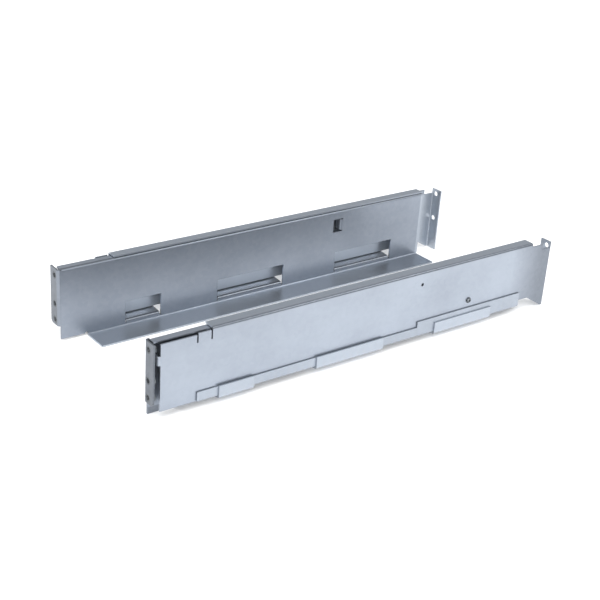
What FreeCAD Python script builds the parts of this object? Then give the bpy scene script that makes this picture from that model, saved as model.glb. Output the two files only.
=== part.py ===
import FreeCAD, Part
import Sketcher
import os

# A pair of length-adjustable rack rails, mirrored about the plane Y = 0.
# Each rail is a box section of two folded sheets: an inner rail that carries the shelf and
# the three-hole flange, and an outer rail that slides over it and carries the far flange.
# X runs along the rails from the near flange and Z is up. Depth is measured outward from the
# shelf-side face of the inner rail, so the two rails share one set of sizes.

doc = FreeCAD.newDocument("rack_rails")
sheet = doc.addObject("Spreadsheet::Sheet", "Sizes")

SIZES = {
    # the box section, its sheet and its clearances
    "closed_length": 470.0, "half_gap": 77.5, "box_depth": 12.5, "gauge": 1.5, "bend": 1.2,
    "relief": 1.4, "play": 0.5, "fit_gap": 0.1, "tip_gap": 0.4,
    # holes for the rack posts
    "post_hole_depth": 6.4, "post_hole_drop": 7.0, "long_pitch": 28.575, "short_pitch": 15.875,
    "far_hole": 2.65,
    # inner rail; what is near its far end is set back from there
    "inner_set_back": 27.0, "inner_height": 73.0, "inner_lip": 8.5,
    "shelf_start": 30.0, "shelf_set_back": 1.0, "shelf_width": 28.0,
    "near_flange": 14.5, "near_flange_margin": 5.5, "near_flange_cut": 2.5,
    "hook_base": 6.2, "hook_rise": 1.2, "hook_top": 18.5, "window_top": 26.0,
    "hook_a_width": 36.5, "hook_b_width": 78.5, "hook_c_width": 75.5,
    "left_hook_a": 71.1, "left_hook_b": 175.4, "left_hook_c_back": 42.7,
    "right_hook_a": 64.6, "right_hook_b": 169.4, "right_hook_c_back": 54.6,
    "catch_back": 115.5, "catch_width": 9.5, "catch_drop": 9.2, "catch_height": 14.5, "catch_reach": 8.0,
    # outer rail; what is near its far end is set back from there
    "outer_start": 5.3, "outer_drop": 1.8, "outer_lip": 12.0, "clip_start": 44.0, "clip_length": 12.6,
    "clip_rise": 1.3, "lip_set_back": 28.5, "slot_depth": 7.2,
    "stop_drop": 3.5, "stop_height": 8.5, "stop_reach": 8.0,
    "tail_set_back": 26.5, "tail_foot": 14.5,
    "far_flange": 14.0, "far_foot": 1.5, "notch_length": 13.0, "notch_depth": 5.5,
    "spare_back": 177.0, "spare_drop": 9.2, "spare_hole": 1.6,
    # guide strip
    "strip_gauge": 1.0, "strip_start": 43.3, "strip_set_back": 40.3, "strip_split_back": 179.0,
    "strip_low": 17.8, "strip_high": 23.8,
    # fasteners
    "lock_back": 112.5, "lock_height": 31.5, "lock_shank": 1.5, "lock_head": 2.4, "lock_head_rise": 1.6,
    "drive_width": 0.7, "drive_length": 2.8, "drive_sink": 0.9, "washer_outer": 3.0, "washer_rise": 0.5,
    "lock_nut": 3.4, "lock_nut_rise": 1.4, "lock_collar": 2.3,
    "post_nut": 4.3, "post_nut_rise": 4.0, "post_collar": 3.35, "post_thread": 2.25, "edge_break": 0.4,
}
for row, (name, value) in enumerate(SIZES.items(), start=1):
    sheet.set("A%d" % row, name)
    sheet.set("B%d" % row, repr(value))
    sheet.setAlias("B%d" % row, name)
HANDS = {1: "left", -1: "right"}
INNER_END = "closed_length - inner_set_back"
OUTER_TOP = "inner_height - outer_drop"
POST_TOP = "inner_height - post_hole_drop"
CATCH_FACE = INNER_END + " - catch_back"
CATCH_TOP = "inner_height - catch_drop"
LOCK_ALONG = "closed_length - lock_back"
STRIP_BACK = "box_depth + play"
STRIP_FACE = STRIP_BACK + " + strip_gauge"
STRIP_END = "closed_length - strip_set_back"
reading = doc.addObject("App::FeaturePython", "Reading")
reading.addProperty("App::PropertyFloat", "Result")
doc.recompute()


def bind(item, prop, text):
    """Tie a property to a formula in which every size name is read from the sheet."""
    words = ["Sizes." + word if word in SIZES else word for word in text.split()]
    item.setExpression(prop, " ".join(words))


def bind_length(item, prop, text):
    bind(item, prop, "( %s ) * 1 mm" % text)


def value_of(text):
    """What a formula of size names comes to."""
    bind(reading, "Result", text)
    reading.recompute()
    return reading.Result


class Piece:
    """One folded sheet or fastener, on its own side of the pair."""

    PLANES = {"end": "YZ_Plane", "side": "XZ_Plane", "plan": "XY_Plane"}

    def __init__(self, label, side, along="0", depth="0", height="0"):
        self.side = side
        self.body = doc.addObject("PartDesign::Body", label)
        self.body.Label = label
        bind_length(self.body, "Placement.Base.x", "%s - closed_length * 0.5" % along)
        bind_length(self.body, "Placement.Base.y", self.outward("half_gap + " + depth))
        bind_length(self.body, "Placement.Base.z", height)

    def outward(self, depth):
        return "%d * ( %s )" % (self.side, depth)

    def drawn(self, view, point):
        """A point of an outline in the two directions of its sketch."""
        first, second = point
        if view == "end":
            return self.outward(first), second
        if view == "plan":
            return first, self.outward(second)
        return first, second

    def hold(self, sketch, geometry, end, point):
        for kind, text in zip(("DistanceX", "DistanceY"), point):
            rule = sketch.addConstraint(Sketcher.Constraint(kind, -1, 1, geometry, end, value_of(text)))
            bind_length(sketch, "Constraints[%d]" % rule, text)

    def draw_polygon(self, sketch, points):
        spots = [FreeCAD.Vector(value_of(first), value_of(second), 0) for first, second in points]
        lines = [sketch.addGeometry(Part.LineSegment(spot, spots[(number + 1) % len(spots)]))
                 for number, spot in enumerate(spots)]
        for number, line in enumerate(lines):
            sketch.addConstraint(Sketcher.Constraint("Coincident", lines[number - 1], 2, line, 1))
            self.hold(sketch, line, 1, points[number])

    def draw_circle(self, sketch, centre, radius):
        spot = FreeCAD.Vector(value_of(centre[0]), value_of(centre[1]), 0)
        ring = sketch.addGeometry(Part.Circle(spot, FreeCAD.Vector(0, 0, 1), value_of(radius)))
        self.hold(sketch, ring, 3, centre)
        rule = sketch.addConstraint(Sketcher.Constraint("Radius", ring, value_of(radius)))
        bind_length(sketch, "Constraints[%d]" % rule, radius)

    def sketch(self, view, outlines, level, holes=()):
        """Closed outlines, and holes given as (first, second, radius), seen in one view of the rail."""
        sketch = self.body.newObject("Sketcher::SketchObject", "Outline")
        plane = [face for face in self.body.Origin.OriginFeatures if face.Role == self.PLANES[view]][0]
        sketch.AttachmentSupport = [(plane, "")]
        sketch.MapMode = "FlatFace"
        bind_length(sketch, "AttachmentOffset.Base.z", level)
        for outline in outlines:
            self.draw_polygon(sketch, [self.drawn(view, point) for point in outline])
        for first, second, radius in holes:
            self.draw_circle(sketch, self.drawn(view, (first, second)), radius)
        return sketch

    def extrude(self, kind, view, outlines, low, high, holes=()):
        """Pad or pocket between two stations across the view."""
        level = low
        if view == "side" and self.side > 0:
            level = "0 - ( %s )" % high
        sketch = self.sketch(view, outlines, level, holes)
        feature = self.body.newObject("PartDesign::" + kind, kind)
        feature.Profile = sketch
        feature.Reversed = kind == "Pocket"
        bind_length(feature, "Length", "( %s ) - ( %s )" % (high, low))
        doc.recompute()

    def pad(self, view, outline, low, high):
        self.extrude("Pad", view, [outline], low, high)

    def pocket(self, view, outlines, low, high, holes=()):
        before = self.body.Tip.Shape.Volume
        self.extrude("Pocket", view, outlines, low, high, holes)
        if self.body.Tip.Shape.Volume > before - 0.01:
            raise ValueError("a pocket of %s takes nothing away" % self.body.Label)

    def turn(self, outline, axis, level="0"):
        """Full turn of a half outline about the lengthwise (H) or the outward (V) axis."""
        sketch = self.sketch("plan", [outline], level)
        feature = self.body.newObject("PartDesign::Revolution", "Turn")
        feature.Profile = sketch
        feature.ReferenceAxis = (sketch, [axis + "_Axis"])
        feature.Angle = 360
        doc.recompute()

    def edges(self, along=None, depth=None, height=None, span=None):
        """Names of the straight edges that keep to the given stations; span limits their height."""
        places = (along, depth and self.outward(depth), height)
        wanted = [(axis, value_of(place)) for axis, place in enumerate(places) if place]
        low, high = [value_of(place) for place in span] if span else (-1e6, 1e6)
        names = []
        for number, edge in enumerate(self.body.Tip.Shape.Edges, start=1):
            ends = [vertex.Point for vertex in edge.Vertexes]
            straight = len(ends) == 2 and edge.Curve.TypeId == "Part::GeomLine"
            kept = all(abs(point[axis] - station) < 0.001 for axis, station in wanted for point in ends)
            if straight and kept and all(low - 0.001 < point.z < high + 0.001 for point in ends):
                names.append("Edge%d" % number)
        if not names:
            raise ValueError("%s has no edge at %s" % (self.body.Label, places))
        return names

    def dress(self, kind, prop, amount, places):
        base = self.body.Tip
        names = [name for place in places for name in self.edges(**place)]
        feature = self.body.newObject("PartDesign::" + kind, kind)
        feature.Base = (base, names)
        bind_length(feature, prop, amount)
        doc.recompute()

    def fold(self, inside, outside):
        """Round a fold of the sheet on its inside and its outside."""
        self.dress("Fillet", "Radius", "bend", [inside])
        self.dress("Fillet", "Radius", "bend + gauge", [outside])


def rectangle(low, high, foot, top):
    return [(low, foot), (high, foot), (high, top), (low, top)]


def post_drops(count):
    """Heights of the rack holes under the top one."""
    return ("0", "0 - long_pitch", "0 - long_pitch - short_pitch")[:count]


def post_holes(count, radius):
    return [("post_hole_depth", "%s + %s" % (POST_TOP, drop), radius) for drop in post_drops(count)]


def inner_rail(label, side):
    rail = Piece(label, side)
    start = "gauge + bend"
    foot = "gauge + bend"

    # shelf, wall and top lip are one folded section
    rail.pad("end", [("0 - shelf_width", "0"), ("gauge", "0"), ("gauge", "inner_height - gauge"),
                     ("inner_lip", "inner_height - gauge"), ("inner_lip", "inner_height"),
                     ("0", "inner_height"), ("0", "gauge"), ("0 - shelf_width", "gauge")],
             start, INNER_END)
    rail.fold({"depth": "0", "height": "gauge"}, {"depth": "gauge", "height": "0"})
    rail.fold({"depth": "gauge", "height": "inner_height - gauge"}, {"depth": "0", "height": "inner_height"})

    # the shelf stops short of both ends, with a notch at its near corner
    notch = "shelf_start - 2 * relief"
    near_end = [("0", "0 - gauge"), ("shelf_start", "0 - gauge"), ("shelf_start", foot + " + relief"),
                (notch, foot + " + relief"), (notch, foot), ("0", foot)]
    far_end = rectangle(INNER_END + " - shelf_set_back", INNER_END + " + gauge", "0 - gauge", foot)
    rail.pocket("side", [near_end, far_end], "0 - shelf_width - gauge", "2 * gauge")

    # near flange, folded outward where the lip is cut back
    lip_foot = "inner_height - 2 * gauge - bend"
    lip_cut = rectangle("0", start + " + 0.5 * relief", lip_foot, "inner_height + gauge")
    rail.pocket("side", [lip_cut], "0 - gauge", "inner_lip + gauge")
    root = start + " + relief"
    flange_foot = POST_TOP + " - long_pitch - short_pitch - near_flange_margin"
    rail.pad("plan", [("0", "0"), (root, "0"), (root, "gauge"), ("gauge", "gauge"),
                      ("gauge", "near_flange"), ("0", "near_flange")], flange_foot, "inner_height")
    rail.fold({"along": "gauge", "depth": "gauge"}, {"along": "0", "depth": "0"})
    rail.dress("Chamfer", "Size", "near_flange_cut", [{"depth": "near_flange", "height": flange_foot}])
    rail.pocket("end", [], "0 - gauge", "2 * gauge", post_holes(3, "post_collar + fit_gap"))

    # windows that the hooks and the catch are cut from
    hinge = "hook_base - hook_rise"
    hinge_root = hinge + " - bend - 0.25 * relief"
    plate_root = CATCH_FACE + " + gauge + bend + 0.25 * relief"
    catch_foot = CATCH_TOP + " - catch_height"
    spans = []
    for name in "ab":
        low = "%s_hook_%s" % (HANDS[side], name)
        spans.append((low, "%s + hook_%s_width" % (low, name)))
    last = "%s - %s_hook_c_back" % (INNER_END, HANDS[side])
    spans.append((last + " - hook_c_width", last))
    windows = []
    for low, high in spans:
        windows.append(rectangle(low + " - relief", high + " + relief", hinge_root, "window_top"))
    windows.append(rectangle(CATCH_FACE + " - catch_width", plate_root, catch_foot, CATCH_TOP))
    rail.pocket("side", windows, "0 - gauge", "2 * gauge")

    # hooks, folded out under the outer rail and up around the guide strip
    back = STRIP_FACE + " + gauge"
    hinge_top = hinge + " + gauge"
    top = "hook_base + gauge"
    for low, high in spans:
        rail.pad("end", [("0", hinge_root), ("gauge", hinge_root), ("gauge", hinge), (back, "hook_base"),
                         (back, "hook_top"), (STRIP_FACE, "hook_top"), (STRIP_FACE, top), ("0", hinge_top)],
                 low, high)
    rail.fold({"depth": "gauge", "height": hinge}, {"depth": "0", "height": hinge_top})
    rail.fold({"depth": STRIP_FACE, "height": top}, {"depth": back, "height": "hook_base"})

    # catch, folded out into the path of the outer rail's stop
    rail.pad("plan", [(CATCH_FACE, "0"), (plate_root + " + relief", "0"), (plate_root + " + relief", "gauge"),
                      (CATCH_FACE + " + gauge", "gauge"), (CATCH_FACE + " + gauge", "catch_reach"),
                      (CATCH_FACE, "catch_reach")], catch_foot + " + relief", CATCH_TOP + " - relief")
    rail.fold({"along": CATCH_FACE + " + gauge", "depth": "gauge"}, {"along": CATCH_FACE, "depth": "0"})
    return rail


def outer_rail(label, side):
    rail = Piece(label, side)
    inside = "box_depth - gauge"
    lip_edge = "box_depth - outer_lip"
    lip_top = "inner_height + play + gauge"
    lip_under = "inner_height + play"
    flange = "closed_length - gauge"
    root = flange + " - bend - relief"
    foot = "hook_base + gauge + 2 * play"
    foot_end = STRIP_END + " + relief"
    slot_foot = OUTER_TOP + " - slot_depth"
    clip_end = "clip_start + clip_length"
    stop_root = "outer_start + gauge + bend"
    stop_top = CATCH_TOP + " - stop_drop"
    stop_foot = stop_top + " - stop_height"

    # wall and top lip are one folded section over the length of the lip
    rail.pad("end", [(lip_edge, lip_under), (inside, lip_under), (inside, slot_foot),
                     ("box_depth", slot_foot), ("box_depth", lip_top), (lip_edge, lip_top)],
             clip_end + " + relief", "closed_length - lip_set_back")
    rail.fold({"depth": inside, "height": lip_under}, {"depth": "box_depth", "height": lip_top})

    # the whole wall, with its foot between the hooks and the guide strip and a sloping tail
    rail.pad("side", [(stop_root, foot), (foot_end, foot), (foot_end, "tail_foot"),
                      ("closed_length - tail_set_back", "tail_foot"), (root, "far_foot"),
                      ("closed_length", "far_foot"), ("closed_length", OUTER_TOP),
                      (stop_root, OUTER_TOP)], inside, "box_depth")

    # far flange, folded in across the end of the box
    far_edge = "box_depth - far_flange"
    rail.pad("plan", [("closed_length", "box_depth"), (root, "box_depth"), (root, inside), (flange, inside),
                      (flange, far_edge), ("closed_length", far_edge)], "far_foot", OUTER_TOP)
    rail.fold({"along": flange, "depth": inside}, {"along": "closed_length", "depth": "box_depth"})
    rail.pocket("end", [], flange + " - gauge", "closed_length + gauge", post_holes(2, "far_hole"))

    # clip that stands a little over the wall's edge between two slots, before the lip
    clip_top = OUTER_TOP + " + clip_rise"
    rail.pad("side", rectangle("clip_start", clip_end, slot_foot, clip_top), inside, "box_depth")

    # openings in the wall: the two slots, a notch beside the top far hole, the lock nut's seat
    # and the spare hole
    slot_top = clip_top + " + gauge"
    notch_foot = OUTER_TOP + " - notch_depth"
    openings = [rectangle("clip_start - relief", "clip_start", slot_foot, slot_top),
                rectangle(clip_end, clip_end + " + relief", slot_foot, slot_top),
                rectangle(flange + " - notch_length", flange, notch_foot, OUTER_TOP + " + gauge")]
    rail.pocket("side", openings, inside + " - bend - fit_gap", "box_depth + gauge",
                [(LOCK_ALONG, "lock_height", "lock_collar + fit_gap"),
                 ("closed_length - spare_back", OUTER_TOP + " - spare_drop", "spare_hole")])

    # stop, folded in at the near end; it meets the catch when the rail is drawn right out
    tip = "box_depth - stop_reach"
    rail.pad("plan", [("outer_start", "box_depth"), (stop_root + " + relief", "box_depth"),
                      (stop_root + " + relief", inside), ("outer_start + gauge", inside),
                      ("outer_start + gauge", tip), ("outer_start", tip)], stop_foot, stop_top)
    rail.fold({"along": "outer_start + gauge", "depth": inside},
              {"along": "outer_start", "depth": "box_depth", "span": (stop_foot, stop_top)})
    return rail


def guide_strip(label, side):
    """Flat strip that stands in the hooks, in front of the outer rail's foot."""
    strip = Piece(label, side)
    foot = "hook_base + gauge + bend + fit_gap"
    split = "closed_length - strip_split_back"
    strip.pad("side", [("strip_start", foot), (STRIP_END, foot), (STRIP_END, "strip_high"),
                       (split, "strip_high"), (split, "strip_low"), ("strip_start", "strip_low")],
              STRIP_BACK, STRIP_FACE)
    return strip


def post_nuts(label, side):
    """Clinch nuts pressed into the near flange from the rail side."""
    nuts = Piece(label, side, depth="post_hole_depth", height=POST_TOP)
    end = "gauge + post_nut_rise"
    for drop in post_drops(3):
        nuts.turn([("fit_gap", "post_thread"), ("fit_gap", "post_collar"), ("gauge", "post_collar"),
                   ("gauge", "post_nut"), (end + " - edge_break", "post_nut"),
                   (end, "post_nut - edge_break"), (end, "post_thread")], "H", drop)
    return nuts


def lock_piece(label, side):
    return Piece(label, side, along=LOCK_ALONG, height="lock_height")


def lock_nut(label, side):
    """Clinch nut pressed into the outer rail from inside the box."""
    nut = lock_piece(label, side)
    bore = "lock_shank + fit_gap"
    seat = "box_depth - gauge"
    end = seat + " - lock_nut_rise"
    nut.turn([(bore, "box_depth - fit_gap"), ("lock_collar", "box_depth - fit_gap"), ("lock_collar", seat),
              ("lock_nut", seat), ("lock_nut", end + " + edge_break"), ("lock_nut - edge_break", end),
              (bore, end)], "V")
    return nut


def lock_washer(label, side):
    washer = lock_piece(label, side)
    face = "box_depth + washer_rise"
    washer.turn(rectangle("lock_shank + fit_gap", "washer_outer", "box_depth", face), "V")
    return washer


def lock_screw(label, side):
    """Pan-head screw whose tip presses on the inner rail to hold the length."""
    screw = lock_piece(label, side)
    tip = "gauge + tip_gap"
    seat = "box_depth + washer_rise"
    top = seat + " + lock_head_rise"
    screw.turn([("0", tip), ("lock_shank - edge_break", tip), ("lock_shank", tip + " + edge_break"),
                ("lock_shank", seat), ("lock_head", seat), ("lock_head", top + " - 2 * edge_break"),
                ("lock_head - 2 * edge_break", top), ("0", top)], "V")
    for wide, tall in (("drive_length", "drive_width"), ("drive_width", "drive_length")):
        slot = rectangle("-0.5 * " + wide, "0.5 * " + wide, "-0.5 * " + tall, "0.5 * " + tall)
        screw.pocket("side", [slot], top + " - drive_sink", top + " + gauge")
    return screw


PIECES = []
for side, name in HANDS.items():
    PIECES.append(inner_rail(name + "_inner_rail", side))
    PIECES.append(guide_strip(name + "_guide_strip", side))
    PIECES.append(post_nuts(name + "_post_nuts", side))
    PIECES.append(outer_rail(name + "_outer_rail", side))
    PIECES.append(lock_nut(name + "_lock_nut", side))
    PIECES.append(lock_washer(name + "_lock_washer", side))
    PIECES.append(lock_screw(name + "_lock_screw", side))

doc.recompute()
for item in doc.Objects:
    if "Invalid" in item.State or "Error" in item.State:
        raise RuntimeError("%s is %s" % (item.Label, item.State))
os.makedirs("parts", exist_ok=True)
for piece in PIECES:
    shape = piece.body.Shape
    if shape.isNull() or not shape.isValid():
        raise RuntimeError("%s has no sound shape" % piece.body.Label)
    shape.exportStep("parts/%s.step" % piece.body.Label)
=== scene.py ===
import math

import bpy
from mathutils import Matrix, Vector


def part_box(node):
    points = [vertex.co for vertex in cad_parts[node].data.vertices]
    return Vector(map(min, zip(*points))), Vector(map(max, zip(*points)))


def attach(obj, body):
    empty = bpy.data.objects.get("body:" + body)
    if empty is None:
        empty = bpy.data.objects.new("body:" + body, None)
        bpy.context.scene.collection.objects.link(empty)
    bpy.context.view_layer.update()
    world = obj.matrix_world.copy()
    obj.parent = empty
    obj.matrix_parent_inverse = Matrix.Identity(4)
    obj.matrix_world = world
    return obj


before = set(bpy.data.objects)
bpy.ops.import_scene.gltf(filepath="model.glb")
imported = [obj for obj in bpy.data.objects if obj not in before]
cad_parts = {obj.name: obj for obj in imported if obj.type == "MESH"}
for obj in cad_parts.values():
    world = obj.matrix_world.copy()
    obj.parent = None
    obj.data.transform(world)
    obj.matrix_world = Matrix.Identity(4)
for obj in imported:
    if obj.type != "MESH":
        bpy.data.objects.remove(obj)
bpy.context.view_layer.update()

MM = 0.001


def add(name, data):
    """A new object in the scene."""
    item = bpy.data.objects.new(name, data)
    bpy.context.scene.collection.objects.link(item)
    return item


def colour(red, green, blue):
    return red, green, blue, 1.0


# Materials. Pattern scales are per metre of the piece's own coordinates.

NOISE_ROUGHNESS = 0.55
BEVEL_SAMPLES = 4
OCCLUSION_SAMPLES = 6
FLAT_COSINE, SHARP_COSINE = 0.995, 0.8
# Sockets of the Mix node that carry colours.
MIX_SHARE, MIX_FIRST, MIX_SECOND, MIX_RESULT = 0, 6, 7, 2


class Graph:
    """A material's node tree, written as calls."""

    def __init__(self, name):
        self.material = bpy.data.materials.new(name)
        self.material.use_nodes = True
        self.tree = self.material.node_tree
        self.shader = self.tree.nodes["Principled BSDF"]

    def node(self, kind, inputs=(), **settings):
        node = self.tree.nodes.new("ShaderNode" + kind)
        for key, value in settings.items():
            setattr(node, key, value)
        for key, value in dict(inputs).items():
            self.feed(node.inputs[key], value)
        return node

    def feed(self, socket, value):
        if isinstance(value, bpy.types.NodeSocket):
            self.tree.links.new(value, socket)
        else:
            socket.default_value = value

    def finish(self, **inputs):
        """Feed the shader's inputs, named with underscores for spaces, and hand out the material."""
        for key, value in inputs.items():
            self.feed(self.shader.inputs[key.replace("_", " ")], value)
        return self.material

    def own_point(self):
        return self.node("TexCoord").outputs["Object"]

    def pattern_point(self, scale, turn=(0, 0, 0)):
        inputs = {"Vector": self.own_point(), "Scale": scale, "Rotation": turn}
        return self.node("Mapping", inputs).outputs["Vector"]

    def noise(self, scale, detail, turn=(0, 0, 0)):
        inputs = {"Vector": self.pattern_point(scale, turn), "Scale": 1.0,
                  "Detail": detail, "Roughness": NOISE_ROUGHNESS}
        return self.node("TexNoise", inputs).outputs["Fac"]

    def span(self, value, low, high, to_low, to_high):
        inputs = {"Value": value, "From Min": low, "From Max": high, "To Min": to_low, "To Max": to_high}
        return self.node("MapRange", inputs).outputs["Result"]

    def math(self, operation, first, second=0.0):
        return self.node("Math", {0: first, 1: second}, operation=operation).outputs[0]

    def times(self, first, second):
        return self.math("MULTIPLY", first, second)

    def plus(self, first, second):
        return self.math("ADD", first, second)

    def mix(self, share, first, second):
        inputs = {MIX_SHARE: share, MIX_FIRST: first, MIX_SECOND: second}
        node = self.node("Mix", data_type="RGBA", blend_type="MIX")
        for socket, value in inputs.items():
            self.feed(node.inputs[socket], value)
        return node.outputs[MIX_RESULT]

    def place(self, axis):
        """A point's distance along X or Z, or from the middle of the pair along Y, in metres."""
        along = self.node("SeparateXYZ", {"Vector": self.own_point()}).outputs[axis]
        return self.math("ABSOLUTE", along) if axis == "Y" else along

    def occlusion(self, reach):
        """1 in the open, falling towards 0 in corners."""
        return self.node("AmbientOcclusion", {"Distance": reach}, samples=OCCLUSION_SAMPLES).outputs["AO"]

    def soft_normal(self, radius):
        return self.node("Bevel", {"Radius": radius}, samples=BEVEL_SAMPLES).outputs["Normal"]

    def edges(self, radius):
        """1 along sharp edges and folds, 0 on flat sheet."""
        flat = self.node("NewGeometry").outputs["Normal"]
        inputs = {0: self.soft_normal(radius), 1: flat}
        cosine = self.node("VectorMath", inputs, operation="DOT_PRODUCT").outputs["Value"]
        return self.span(cosine, FLAT_COSINE, SHARP_COSINE, 0.0, 1.0)

    def bump(self, strength, distance, height, **normal):
        inputs = {"Strength": strength, "Distance": distance, "Height": height, **normal}
        return self.node("Bump", inputs).outputs["Normal"]


def zone(tint, **bounds):
    """Part of a sheet with a tint laid over it, mostly painted light and shade.

    Each bound names an axis, with where the zone starts and where it is whole along it, in millimetres.
    """
    return tint, {axis: (start * MM, whole * MM) for axis, (start, whole) in bounds.items()}


CRYSTAL_TINT = colour(0.93, 0.96, 1.0)
# Painted shade: the tint of corners and creases.
SHEET_CORNER_SHADE = colour(0.10, 0.11, 0.12)
# Edge tint: partly wear, partly painted shade over the highlights on folds.
SHEET_EDGE_WEAR_AND_SHADE = colour(0.10, 0.11, 0.13)
ZONE_SHARE, LINE_SHARE, CRYSTAL_SHARE, CORNER_SHADE_SHARE, EDGE_WEAR_AND_SHADE_SHARE = 0.9, 0.08, 0.02, 0.22, 0.45
CRYSTALS_PER_METRE = 260
LINE_SCALE = (4, 620, 620)
SHEET_METALLIC = 0.85


def zinc(name, pale, deep, rough, seed, zones=()):
    """Zinc-plated rolled sheet: soft clouds, faint crystals, rolling lines, painted shade in corners,
    dull edges that are partly wear and partly painted shade over the fold highlights, and tinted zones.
    """
    g = Graph(name)
    clouds = g.noise((11 + seed, 17, 17), 5.0, turn=(0.3, 0.2, seed))
    lines = g.noise(LINE_SCALE, 2.0)
    cells = {"Vector": g.pattern_point((CRYSTALS_PER_METRE,) * 3), "Scale": 1.0}
    crystals = g.node("TexVoronoi", cells).outputs["Color"]
    crystal = g.node("RGBToBW", {"Color": crystals}).outputs["Val"]
    corner_shade = g.occlusion(4 * MM)
    edge = g.edges(0.5 * MM)

    tint = g.mix(g.span(clouds, 0.35, 0.68, 0.0, 1.0), deep, pale)
    tint = g.mix(g.span(lines, 0.3, 0.7, 0.0, LINE_SHARE), tint, deep)
    for zone_tint, bounds in zones:
        share = ZONE_SHARE
        for axis, (start, whole) in bounds.items():
            share = g.times(share, g.span(g.place(axis), start, whole, 0.0, 1.0))
        tint = g.mix(share, tint, zone_tint)
    tint = g.mix(g.span(crystal, 0.2, 0.8, 0.0, CRYSTAL_SHARE), tint, CRYSTAL_TINT)
    # Painted shade: darker in corners and creases.
    tint = g.mix(g.span(corner_shade, 0.15, 0.75, CORNER_SHADE_SHARE, 0.0), tint, SHEET_CORNER_SHADE)
    # Edges darkened: partly wear, partly painted shade over the highlights on folds.
    tint = g.mix(g.times(edge, EDGE_WEAR_AND_SHADE_SHARE), tint, SHEET_EDGE_WEAR_AND_SHADE)

    gloss = g.span(clouds, 0.3, 0.7, rough + 0.05, rough - 0.02)
    gloss = g.plus(gloss, g.span(lines, 0.3, 0.7, -0.015, 0.015))
    gloss = g.plus(gloss, g.times(edge, 0.15))

    relief = g.plus(g.times(lines, 0.3), g.times(crystal, 0.12))
    normal = g.bump(0.12, 0.05 * MM, relief, Normal=g.soft_normal(0.35 * MM))
    return g.finish(Base_Color=tint, Roughness=gloss, Normal=normal, Metallic=SHEET_METALLIC)


# Painted shade: the tint of the fasteners' corners.
FASTENER_CORNER_SHADE = colour(0.05, 0.05, 0.055)
FASTENER_EDGE = colour(0.9, 0.92, 0.95)
FASTENER_CORNER_SHADE_SHARE, FASTENER_EDGE_SHARE = 0.6, 0.1
FASTENER_METALLIC = 0.9


def plated_steel(name, pale, deep, rough):
    """Plated fastener metal, with a fine grain, painted shade in the corners and worn rims."""
    g = Graph(name)
    clouds = g.noise((120, 120, 120), 3.0)
    grain = g.noise((900, 900, 900), 2.0)
    corner_shade = g.occlusion(2 * MM)
    edge = g.edges(0.25 * MM)

    tint = g.mix(g.span(clouds, 0.35, 0.65, 0.0, 1.0), deep, pale)
    # Painted shade: darker in corners.
    tint = g.mix(g.span(corner_shade, 0.2, 0.8, FASTENER_CORNER_SHADE_SHARE, 0.0), tint, FASTENER_CORNER_SHADE)
    tint = g.mix(g.times(edge, FASTENER_EDGE_SHARE), tint, FASTENER_EDGE)

    gloss = g.span(clouds, 0.3, 0.7, rough - 0.05, rough + 0.08)
    gloss = g.plus(gloss, g.span(grain, 0.3, 0.7, -0.04, 0.04))
    normal = g.bump(0.15, 0.03 * MM, grain)
    return g.finish(Base_Color=tint, Roughness=gloss, Normal=normal, Metallic=FASTENER_METALLIC)


def paper(name):
    """Matt white studio floor."""
    g = Graph(name)
    fibre = g.noise((40, 40, 40), 3.0)
    tint = g.mix(fibre, colour(0.93, 0.93, 0.93), colour(0.96, 0.96, 0.96))
    return g.finish(Base_Color=tint, Roughness=0.9, Specular_IOR_Level=0.1)


# Zones of the inner rails, a later one over an earlier one; most are painted light and shade.
INNER_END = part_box("left_inner_rail")[1].x / MM
INNER_ZONES = {
    # Painted shade: a dark line along the hook bends in place of their bright reflection.
    "hook bends": zone(colour(0.140, 0.155, 0.180), Y=(77.55, 77.8), Z=(9.4, 8.9)),
    # Painted light: the hook floors inside the box lifted to the wall's tone.
    "hook floors": zone(colour(0.420, 0.458, 0.512), Y=(79.6, 80.6), Z=(9.4, 8.9)),
    # Painted light: the hooks lifted to about the outer rails' tone.
    "hooks": zone(colour(0.390, 0.425, 0.475), Y=(86, 89)),
    # Painted shade: the near flanges darkened.
    "near flanges": zone(colour(0.105, 0.116, 0.134), X=(-232.8, -233.6)),
    # Painted highlight: a lighter line along the near bends.
    "near bends": zone(colour(0.215, 0.238, 0.276), X=(-231.6, -232.2), Y=(80.4, 79.6)),
    # Painted highlight: a lighter line along the far ends of the inner walls.
    "wall ends": zone(colour(0.355, 0.388, 0.438), X=(INNER_END - 3.4, INNER_END - 2.2), Z=(2, 3)),
    # Painted light: the upward-facing shelves lifted.
    "shelves": zone(colour(0.415, 0.453, 0.505), Z=(1.75, 1.53)),
    "shelf ends": zone(colour(0.270, 0.297, 0.337), X=(120, 175), Z=(1.75, 1.53)),
    # Painted shade: a dark line along the top folds in place of their highlight.
    "top folds": zone(colour(0.120, 0.133, 0.154), Y=(80.5, 79.8), Z=(71.4, 72.2)),
}
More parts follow.
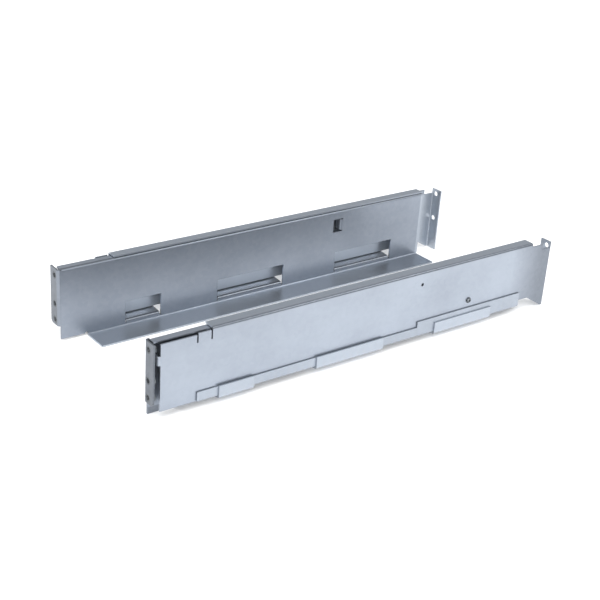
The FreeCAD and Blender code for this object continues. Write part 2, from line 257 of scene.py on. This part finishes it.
# Zones of the outer rails, in the same order, all painted light and shade.
OUTER_ZONES = {
    # Painted light: the inside of the box lifted, where it lies in shade.
    "inside of the box": zone(colour(0.480, 0.522, 0.578), X=(215, 150), Y=(89.2, 88.8), Z=(64, 61)),
    # Painted light on the inside at the far ends, weaker than in the rest of the box.
    "inside of the far ends": zone(colour(0.392, 0.428, 0.476), X=(200, 208), Y=(89.2, 88.8)),
    # Painted shade: the outer faces darkened towards the far ends.
    "outside of the far ends": zone(colour(0.160, 0.178, 0.207), X=(180, 222), Y=(88.8, 89.4)),
    # Painted shade: the upward-facing top lips darkened.
    "top lips": zone(colour(0.265, 0.294, 0.338), Y=(89.6, 88.6), Z=(65, 67)),
    # Painted shade: a dark line along the top folds in place of their highlight.
    "top folds": zone(colour(0.100, 0.111, 0.130), Y=(87.4, 88.6), Z=(72.8, 73.6)),
}
# The inner rails' tint is set darker than the outer rails': painted shade.
INNER = zinc("zinc_inner", colour(0.262, 0.290, 0.338), colour(0.220, 0.246, 0.288),
             rough=0.32, seed=0.0, zones=INNER_ZONES.values())
OUTER = zinc("zinc_outer", colour(0.345, 0.380, 0.435), colour(0.300, 0.330, 0.380),
             rough=0.33, seed=1.3, zones=OUTER_ZONES.values())
STRIP = zinc("zinc_strip", colour(0.360, 0.395, 0.445), colour(0.315, 0.345, 0.390),
             rough=0.34, seed=2.1)
FASTENER = plated_steel("zinc_fastener", colour(0.15, 0.16, 0.17), colour(0.09, 0.10, 0.11), rough=0.45)

FINISHES = {"inner_rail": INNER, "outer_rail": OUTER, "guide_strip": STRIP}
for node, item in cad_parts.items():
    finish = FINISHES.get(node.partition("_")[2], FASTENER)
    item.data.materials.clear()
    item.data.materials.append(finish)


# Screw threads, which are plain cylinders in the solids.

STEPS_PER_TURN = 28
# Half widths of the ridge, as shares of the pitch.
RIDGE_FOOT, RIDGE_CREST = 0.46, 0.06
# The ridge rises from the least height to its full height within a quarter of a turn at each end.
RISE_PER_TURN, LEAST_HEIGHT = 4.0, 0.02


def thread(name, body, start, axis, root, crest, pitch, length):
    """Helical ridge between a root and a crest radius, along an axis from a start point."""
    turns = length / pitch - 1.0
    across = axis.orthogonal().normalized()
    upward = axis.cross(across)
    foot, top = axis * RIDGE_FOOT * pitch, axis * RIDGE_CREST * pitch
    points, faces = [], []
    count = int(STEPS_PER_TURN * turns) + 1
    for number in range(count):
        turn = number / STEPS_PER_TURN
        out = across * math.cos(turn * math.tau) + upward * math.sin(turn * math.tau)
        middle = start + axis * pitch * (turn + 0.5)
        rise = min(1.0, RISE_PER_TURN * turn, RISE_PER_TURN * (turns - turn) + LEAST_HEIGHT)
        tip = root + (crest - root) * max(rise, LEAST_HEIGHT)
        points += [middle - foot + out * root, middle - top + out * tip,
                   middle + top + out * tip, middle + foot + out * root]
    for number in range(count - 1):
        base = 4 * number
        for side in range(4):
            near, far = base + side, base + (side + 1) % 4
            faces.append((near, far, far + 4, near + 4))
    faces.append((3, 2, 1, 0))
    faces.append(tuple(range(4 * count - 4, 4 * count)))
    mesh = bpy.data.meshes.new(name)
    mesh.from_pydata(points, [], faces)
    mesh.polygons.foreach_set("use_smooth", [True] * len(mesh.polygons))
    mesh.materials.append(FASTENER)
    ridge = add(name, mesh)
    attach(ridge, body)


POST_BORE, POST_THREAD_DEPTH, POST_PITCH = 2.25 * MM, 0.22 * MM, 0.8 * MM
# The rack's hole pitch, from the top nut down.
NUT_DROPS = (0.0, 28.575 * MM, (28.575 + 15.875) * MM)
LOCK_ROOT, LOCK_CREST, LOCK_PITCH = 1.47 * MM, 1.59 * MM, 0.5 * MM
LOCK_TIP, LOCK_LENGTH = 0.5 * MM, 8.6 * MM
for hand, side in (("left", 1.0), ("right", -1.0)):
    low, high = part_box(hand + "_post_nuts")
    radius = (high.y - low.y) / 2
    for number, drop in enumerate(NUT_DROPS):
        start = Vector((low.x, (low.y + high.y) / 2, high.z - radius - drop))
        thread("%s_post_thread_%d" % (hand, number), "inner_rails", start, Vector((1, 0, 0)),
               POST_BORE, POST_BORE - POST_THREAD_DEPTH, POST_PITCH, high.x - low.x)
    low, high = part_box(hand + "_lock_screw")
    tip = low.y if side > 0 else high.y
    start = Vector(((low.x + high.x) / 2, tip + side * LOCK_TIP, (low.z + high.z) / 2))
    thread(hand + "_lock_thread", hand + "_outer", start, Vector((0, side, 0)),
           LOCK_ROOT, LOCK_CREST, LOCK_PITCH, LOCK_LENGTH)


# Camera, as fitted to the photograph.

AZIMUTH, ELEVATION, ROLL = (math.radians(angle) for angle in (-38.455, 25.024, 4.112))
FOCAL_PIXELS, PICTURE_PIXELS = 1209.32, 600
EYE = Vector((-0.678568, -0.833995, 0.52293))
SENSOR_WIDTH_MM = 36.0

level = Vector((math.cos(AZIMUTH), math.sin(AZIMUTH), 0.0))
outward = Vector((math.sin(AZIMUTH), -math.cos(AZIMUTH), 0.0))
back = outward * math.cos(ELEVATION) + Vector((0.0, 0.0, math.sin(ELEVATION)))
upright = back.cross(level)
right = level * math.cos(ROLL) + upright * math.sin(ROLL)
up = upright * math.cos(ROLL) - level * math.sin(ROLL)
lens = bpy.data.cameras.new("camera")
lens.sensor_width = SENSOR_WIDTH_MM
lens.lens = FOCAL_PIXELS / PICTURE_PIXELS * SENSOR_WIDTH_MM
lens.clip_start, lens.clip_end = 0.01, 60.0
camera = add("camera", lens)
camera.matrix_world = Matrix((right, up, back)).transposed().to_4x4()
camera.location = EYE
bpy.context.scene.camera = camera


# Floor, a hair below the shelves.

FLOOR_REACH, FLOOR_DROP = 30.0, 0.3 * MM
FLOOR_CORNERS = [(x * FLOOR_REACH, y * FLOOR_REACH, 0.0) for x, y in ((-1, -1), (1, -1), (1, 1), (-1, 1))]

ground = bpy.data.meshes.new("floor")
ground.from_pydata(FLOOR_CORNERS, [], [(0, 1, 2, 3)])
ground.materials.append(paper("studio_paper"))
floor = add("floor", ground)
floor.location.z = -FLOOR_DROP


# Light: a broad sun from behind the camera, two panels and a pale sky.

SUN_FROM = Vector((-0.53, -0.66, 0.53))
SUN_STRENGTH, SUN_SPREAD = 4.2, math.radians(60)
# Place, width and height in metres, and power in watts, of each panel that faces the middle of the part.
PANELS = {
    "rim": (Vector((0.9, -0.7, 1.2)), 0.9, 0.5, 8.0),
    "fill": (Vector((-1.1, 1.5, 0.6)), 1.2, 0.8, 12.0),
}
SKY, SKY_STRENGTH = colour(0.96, 0.98, 1.0), 0.75


def turn_to(light, towards):
    """Turn a light, which shines along its own -Z, along a direction."""
    light.rotation_mode = "QUATERNION"
    light.rotation_quaternion = towards.to_track_quat("-Z", "Y")


sun = bpy.data.lights.new("sun", "SUN")
sun.energy = SUN_STRENGTH
sun.angle = SUN_SPREAD
turn_to(add("sun", sun), -SUN_FROM)
for name, (place, width, height, power) in PANELS.items():
    panel = bpy.data.lights.new(name, "AREA")
    panel.shape = "RECTANGLE"
    panel.size, panel.size_y = width, height
    panel.energy = power
    light = add(name, panel)
    light.location = place
    turn_to(light, -place)

world = bpy.data.worlds.new("studio")
world.use_nodes = True
sky = world.node_tree.nodes["Background"]
sky.inputs["Color"].default_value = SKY
sky.inputs["Strength"].default_value = SKY_STRENGTH
bpy.context.scene.world = world
bpy.context.scene.view_settings.view_transform = "Standard"
